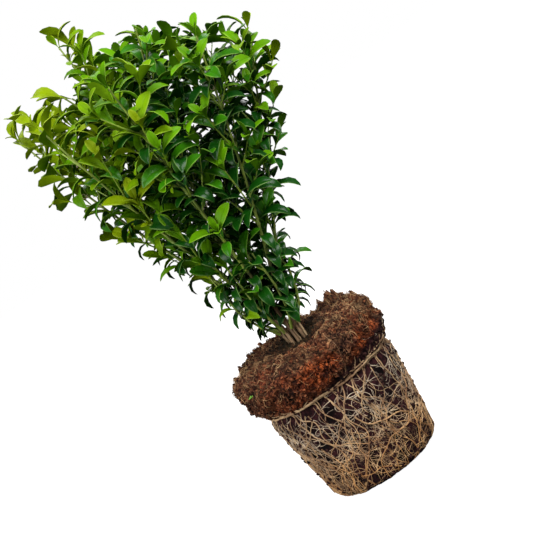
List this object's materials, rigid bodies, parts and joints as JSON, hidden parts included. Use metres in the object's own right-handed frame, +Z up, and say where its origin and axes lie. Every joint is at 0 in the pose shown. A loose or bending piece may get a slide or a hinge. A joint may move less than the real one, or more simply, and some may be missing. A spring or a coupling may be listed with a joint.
{
  "type": "small-leaved euonymus shrub on its root ball",
  "caption": "Dense upright evergreen shrub with small oval leaves on thin stems, standing on a bare, root-bound ball of peat.",
  "frame": {"origin": "centre of the flat underside of the root ball", "axes": "+Z up the plant, -Y towards the viewer, +X to the viewer's right"},
  "size_m": [0.2504, 0.2576, 0.5123],
  "materials": {
    "peat": "moist dark peat under a net of pale fine roots",
    "bark": "thin brown-green bark",
    "leaf": "glossy mid to lime green leaf",
    "dark_leaf": "glossy dark green leaf"
  },
  "bodies": {
    "root": {"foliage_back": "leaf", "foliage_front": "leaf", "foliage_inner_left_back": "leaf", "foliage_inner_left_front": "leaf", "foliage_inner_right_back": "leaf", "foliage_inner_right_front": "leaf", "foliage_leader": "leaf", "foliage_left": "leaf", "foliage_left_back": "leaf", "foliage_left_front": "leaf", "foliage_low_1": "dark_leaf", "foliage_low_2": "dark_leaf", "foliage_low_3": "dark_leaf", "foliage_low_4": "dark_leaf", "foliage_low_5": "dark_leaf", "foliage_low_6": "dark_leaf", "foliage_low_7": "dark_leaf", "foliage_low_8": "dark_leaf", "foliage_right": "leaf", "foliage_right_back": "leaf", "foliage_right_front": "leaf", "root_ball": "peat", "stem_back": "bark", "stem_front": "bark", "stem_left": "bark", "stem_left_back": "bark", "stem_left_front": "bark", "stem_middle": "bark", "stem_right": "bark", "stem_right_back": "bark", "stem_right_front": "bark"}
  },
  "joints": []
}
